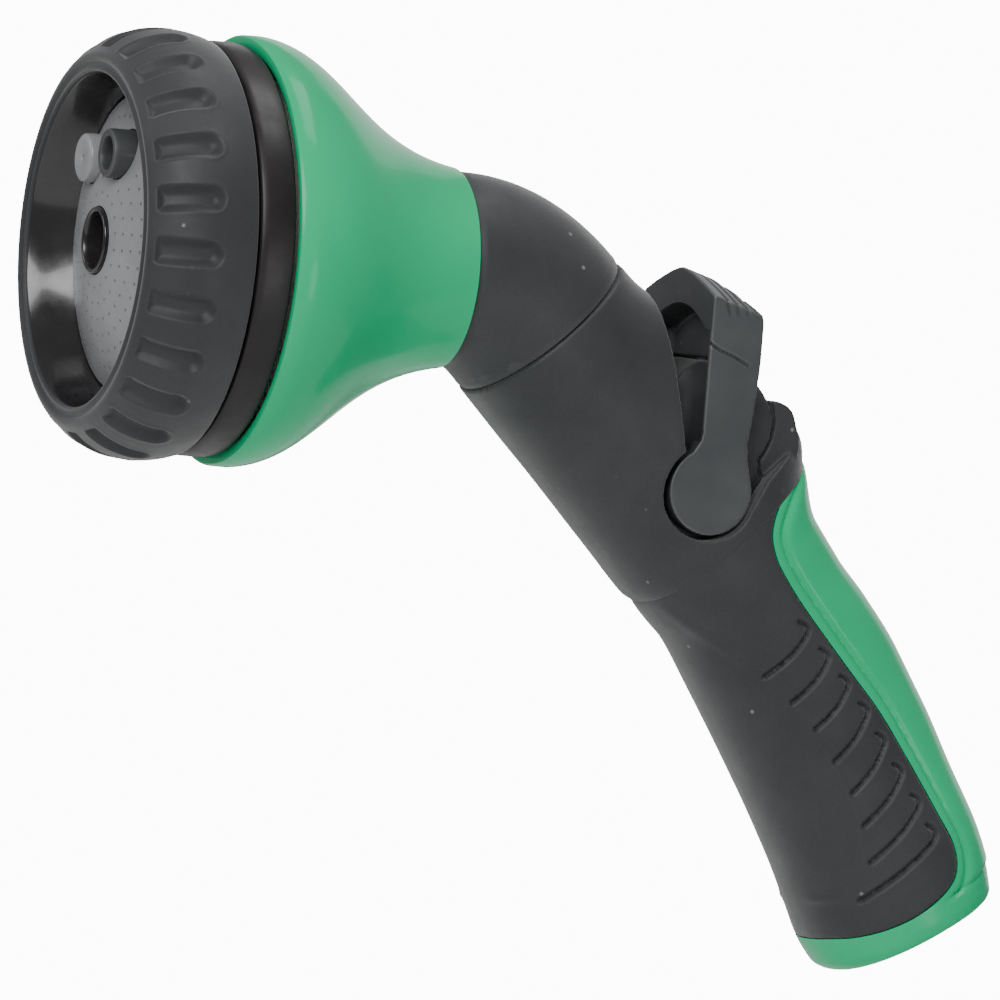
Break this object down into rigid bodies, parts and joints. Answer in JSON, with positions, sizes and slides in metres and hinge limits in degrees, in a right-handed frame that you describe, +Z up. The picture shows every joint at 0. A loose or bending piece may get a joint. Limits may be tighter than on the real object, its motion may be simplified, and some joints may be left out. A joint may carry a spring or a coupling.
{
  "type": "hose spray nozzle",
  "caption": "Garden hose spray nozzle with a grooved turning dial round a domed spray face, a flared green head, a bent neck, a thumb lever over a round hump and a sloping ribbed handle.",
  "frame": {"origin": "centre of the hose inlet's end face, at the bottom of the handle, where the hose holds the nozzle", "axes": "-Y along the dial's axis, the way the water leaves; +Z up in use; +X across the nozzle"},
  "size_m": [0.0766, 0.1817, 0.1581],
  "materials": {
    "soft_black": "matte soft-touch overmould",
    "gloss_black": "polished moulded plastic",
    "green": "glossy moulded plastic",
    "face_grey": "satin moulded plastic",
    "lever_grey": "satin moulded plastic",
    "inner_plastic": "natural acetal",
    "seal_rubber": "nitrile rubber",
    "steel": "stainless steel",
    "brass": "turned brass"
  },
  "bodies": {
    "root": {"dial_screw": "steel", "dial_washer": "steel", "dial_o_ring": "seal_rubber", "head_collar": "gloss_black", "head_shell": "green", "port_plate": "inner_plastic", "port_seal": "seal_rubber", "seal_spring": "steel", "detent_ball": "steel", "detent_spring": "steel", "pressure_cup": "inner_plastic", "neck_elbow": "soft_black", "outlet_tube": "inner_plastic", "outlet_o_ring_front": "seal_rubber", "outlet_o_ring_rear": "seal_rubber", "body_shell": "soft_black", "valve_housing": "soft_black", "valve_seat_front": "seal_rubber", "valve_seat_rear": "seal_rubber", "seat_retainer": "inner_plastic", "stem_o_ring_left": "seal_rubber", "stem_o_ring_right": "seal_rubber", "handle_core": "green", "grip_panel": "soft_black", "inlet_tube": "inner_plastic", "thread_insert": "brass", "hose_washer": "seal_rubber", "filter_screen": "steel"},
    "dial": {"dial_grip_ring": "soft_black", "dial_cup": "gloss_black", "spray_face": "face_grey", "centre_throat": "gloss_black", "jet_tube": "lever_grey", "cone_outlet": "face_grey", "dial_back_plate": "inner_plastic"},
    "lever": {"thumb_lever": "lever_grey", "valve_ball": "brass"}
  },
  "joints": [
    {"name": "dial_spin", "type": "hinge", "parent": "root", "child": "dial", "pos_m": [0, -0.167, 0.11], "axis": [0, -1, 0], "continuous": true},
    {"name": "lever_swing", "type": "hinge", "parent": "root", "child": "lever", "pos_m": [0, -0.05162, 0.07426], "axis": [-1, 0, 0], "range_deg": [0, 39]}
  ]
}
